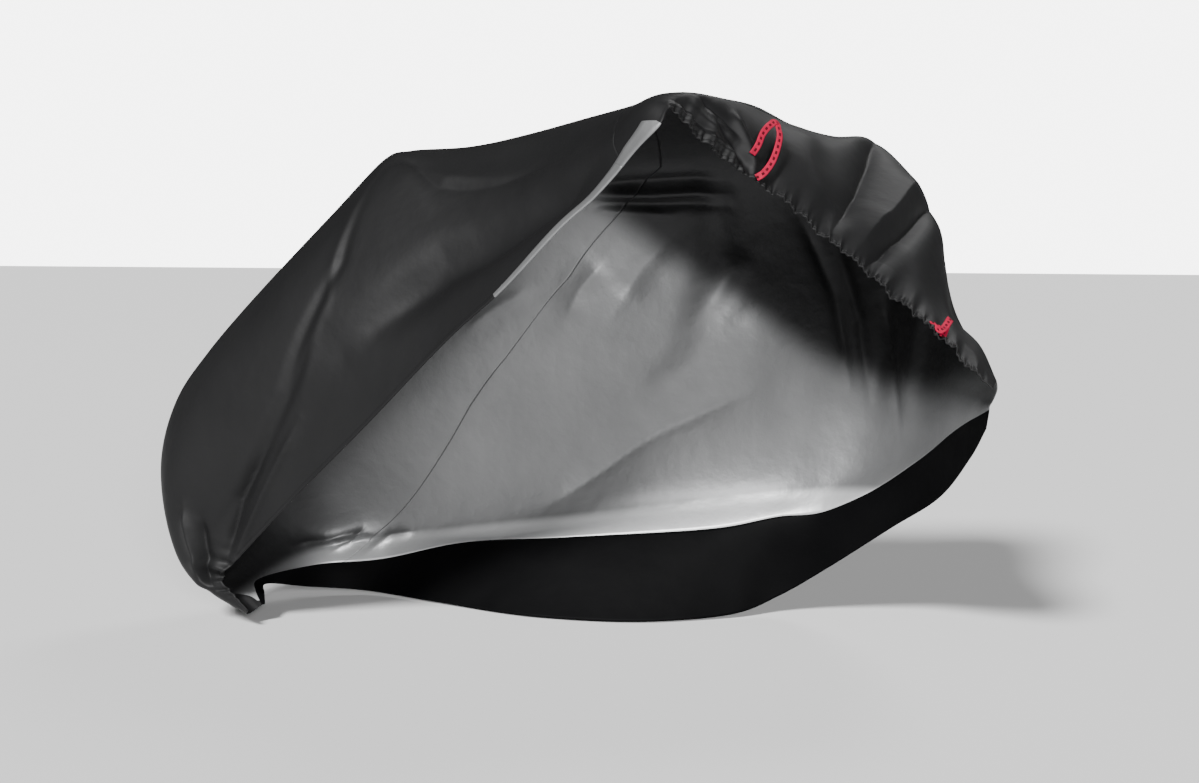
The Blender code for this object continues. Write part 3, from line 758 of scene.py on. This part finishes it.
def stitched(nodes, links, colour, thread):
    """The colour with a dashed line of thread along the middle of a strap."""
    lengths = nodes.new("ShaderNodeUVMap")
    lengths.uv_map = "lengths"
    parts = nodes.new("ShaderNodeSeparateXYZ")
    links.new(lengths.outputs["UV"], parts.inputs["Vector"])
    across = parts.outputs["Y"]
    in_line = calculated(nodes, links, "COMPARE", across, WEBBING_WIDTH / 2, STITCH_WIDTH / 2)
    run = calculated(nodes, links, "DIVIDE", parts.outputs["X"], STITCH_PITCH)
    run = calculated(nodes, links, "FRACT", run)
    dash = calculated(nodes, links, "LESS_THAN", run, STITCH_SHARE)
    both = nodes.new("ShaderNodeMath")
    both.operation = "MULTIPLY"
    links.new(in_line, both.inputs[0])
    links.new(dash, both.inputs[1])
    mix = nodes.new("ShaderNodeMix")
    mix.data_type = "RGBA"
    links.new(both.outputs["Value"], mix.inputs["Factor"])
    links.new(colour, mix.inputs["A"])
    mix.inputs["B"].default_value = thread
    return mix.outputs["Result"]


def red_webbing():
    made, nodes, links = new_material("Red webbing")
    shader = nodes["Principled BSDF"]
    colour = mottled(nodes, links, (0.28, 0.003, 0.027, 1), (0.36, 0.006, 0.036, 1), 120)
    colour = stitched(nodes, links, colour, (0.05, 0.001, 0.004, 1))
    links.new(colour, shader.inputs["Base Color"])
    shader.inputs["Roughness"].default_value = 0.7
    shader.inputs["Specular IOR Level"].default_value = 0.15
    weave = weave_bump(nodes, links, 0.0016, 0.5, 0.0005)
    links.new(weave.outputs["Normal"], shader.inputs["Normal"])
    return made


# Pieces

DETAIL = 1.0


def steps(first, last, count):
    return np.linspace(first, last, int(count * DETAIL) + 1)


NEAR_ROWS = np.concatenate([steps(0, 0.06, 16)[:-1], steps(0.06, AT_CREST, 74)])
HOOD_ROWS = np.concatenate([steps(0, 0.10, 20)[:-1], steps(0.10, AT_CREST, 60)])
FAR_ROWS = np.concatenate(
    [steps(AT_CREST, 0.5, 14)[:-1], steps(0.5, 0.6, 46)[:-1], steps(0.6, AT_SKIRT, 74)]
)
SKIRT_ROWS = steps(AT_SKIRT, 1, 28)


# Rows: node, rows across, then first and last station (None is the side seam) and number of
# columns, slot, flat size, area as draped
PANELS = (
    ("near_panel", NEAR_ROWS, (0.0, None, 330), "black_oxford", (0.62, 1.75), 0.64),
    ("front_hood", HOOD_ROWS, (None, LAST_STATION, 560), "black_oxford", (0.45, 0.95), 0.30),
    ("far_rear_panel", FAR_ROWS, (0.0, None, 280), "silver_coating", (0.80, 1.60), 0.69),
    ("far_front_panel", FAR_ROWS, (None, LAST_STATION, 320), "silver_coating", (1.00, 1.50), 0.99),
    ("far_skirt", SKIRT_ROWS, (0.0, LAST_STATION, 500), "black_polyester", (0.25, 2.10), 0.25),
)


def panels(black, silver, skirt):
    for name, rows, span, slot, flat, area in PANELS:
        columns = columns_between(*span)
        is_skirt = slot == "black_polyester"
        has_hem = slot == "black_oxford"
        outside = panel_grid(rows, columns, has_hem)
        inside = outside - CLOTH * grid_normals(outside)
        stations = columns(rows[0])[1:]
        black_hem_and_painted_shade = np.zeros((outside.shape[0] - 1, len(stations)), bool)
        if has_hem:
            cuff = np.interp(stations, column(CUFF_WIDTH, 0), column(CUFF_WIDTH, 1))
            black_hem_and_painted_shade[:HEM_ROWS, cuff < PLAIN_HEM] = True
        if not is_skirt:
            # painted shade: the inside of the bunched rear end takes the black outer cloth
            black_hem_and_painted_shade[:, stations < PAINTED_SHADE_STATION] = True
        outer, inner = (skirt, skirt) if is_skirt else (black, silver)
        made = sheet(name + "_cloth", outside, inside, outer, inner, black_hem_and_painted_shade)
        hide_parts(name)


def on_hood(stations, across):
    """Places and normals on the cloth near the hem, or just beyond it where across is below 0."""
    points, normals = cloth(stations, np.maximum(across, 0))
    inward, _ = cloth(stations, np.full_like(stations, 0.01))
    hem, _ = cloth(stations, np.zeros_like(stations))
    beyond = np.minimum(across, 0)[:, None] / 0.01
    return points + beyond * (inward - hem), normals


def strap_sides(table, steps, middle, normals, flat_from):
    """Directions of a strap's width: along the hem before a row, then across its own way."""
    ahead = np.gradient(middle, axis=0)
    ahead /= np.linalg.norm(ahead, axis=1)[:, None]
    side = np.cross(ahead, normals)
    if flat_from:
        first, last = along(NEAR_HEM, np.array([table[0, 0] - 0.2, table[0, 0] + 0.2]))
        hem = last - first - ((last - first) * ahead).sum(axis=1)[:, None] * ahead
        hem *= np.sign((hem * side).sum(axis=1)[np.searchsorted(steps, flat_from)])
        flat = np.clip(steps - flat_from, 0, 1)[:, None]
        side = (1 - flat) * hem / np.linalg.norm(hem, axis=1)[:, None] + flat * side
    return side / np.linalg.norm(side, axis=1)[:, None]


def webbing_loop(name, table, flat_from, finish):
    """A strap that leaves the hem, stands off the cloth and comes back to it."""
    marks = np.array(table, float)
    knots = np.arange(len(marks), dtype=float)
    slopes = tangents(knots, marks)
    steps = np.linspace(0, knots[-1], 200)
    first = np.minimum(steps.astype(int), len(marks) - 2)
    where = (steps - first)[:, None]
    path = cubic(marks[first], marks[first + 1], slopes[first], slopes[first + 1], 1.0, where)
    points, normals = on_hood(path[:, 0], path[:, 1])
    middle = points + path[:, 2:] * normals
    side = WEBBING_WIDTH / 2 * strap_sides(marks, steps, middle, normals, flat_from)
    top = np.array([middle + share * side for share in np.linspace(1, -1, 9)])
    bottom = top - WEBBING_THICKNESS * grid_normals(top)
    made = sheet(name + "_strap", top, bottom, finish, finish)
    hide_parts(name)


def studio():
    """A pale floor, soft lights and the camera."""
    pale, nodes, _ = new_material("Pale floor")
    nodes["Principled BSDF"].inputs["Base Color"].default_value = (0.70, 0.70, 0.70, 1)
    nodes["Principled BSDF"].inputs["Roughness"].default_value = 0.9
    bpy.ops.mesh.primitive_plane_add(size=FLOOR_SIZE, location=(0, 0, FLOOR_HEIGHT))
    floor = bpy.context.object
    floor.name = "floor"
    floor.data.materials.append(pale)
    world = bpy.data.worlds.new("Studio")
    world.use_nodes = True
    nodes, links = world.node_tree.nodes, world.node_tree.links
    fill = nodes["Background"]
    fill.inputs["Color"].default_value = (1, 1, 1, 1)
    fill.inputs["Strength"].default_value = FILL
    backdrop = nodes.new("ShaderNodeBackground")
    backdrop.inputs["Color"].default_value = (1, 1, 1, 1)
    backdrop.inputs["Strength"].default_value = BACKDROP
    seen = nodes.new("ShaderNodeLightPath")
    mix = nodes.new("ShaderNodeMixShader")
    links.new(seen.outputs["Is Camera Ray"], mix.inputs["Fac"])
    links.new(fill.outputs["Background"], mix.inputs[1])
    links.new(backdrop.outputs["Background"], mix.inputs[2])
    links.new(mix.outputs["Shader"], nodes["World Output"].inputs["Surface"])
    bpy.context.scene.world = world
    for name, turn, height, spread, strength in LIGHTS:
        data = bpy.data.lights.new(name, "SUN")
        data.angle = math.radians(spread)
        data.energy = strength
        lamp = bpy.data.objects.new(name, data)
        lamp.rotation_euler = (math.radians(90 - height), 0, math.radians(turn))
        bpy.context.scene.collection.objects.link(lamp)
    data = bpy.data.cameras.new("camera")
    data.lens = CAMERA_LENS
    data.sensor_width = 36
    camera = bpy.data.objects.new("camera", data)
    camera.location = np.array(CAMERA_PLACE) - CENTRE
    camera.rotation_euler = (math.radians(90 - CAMERA_DIP), 0, math.radians(CAMERA_TURN))
    bpy.context.scene.collection.objects.link(camera)
    bpy.context.scene.camera = camera


studio()
panels(black_oxford(), silver_coating(), black_polyester())
red = red_webbing()
webbing_loop("upper_loop", UPPER_LOOP, UPPER_FLAT_FROM, red)
webbing_loop("lower_loop", LOWER_LOOP, LOWER_FLAT_FROM, red)
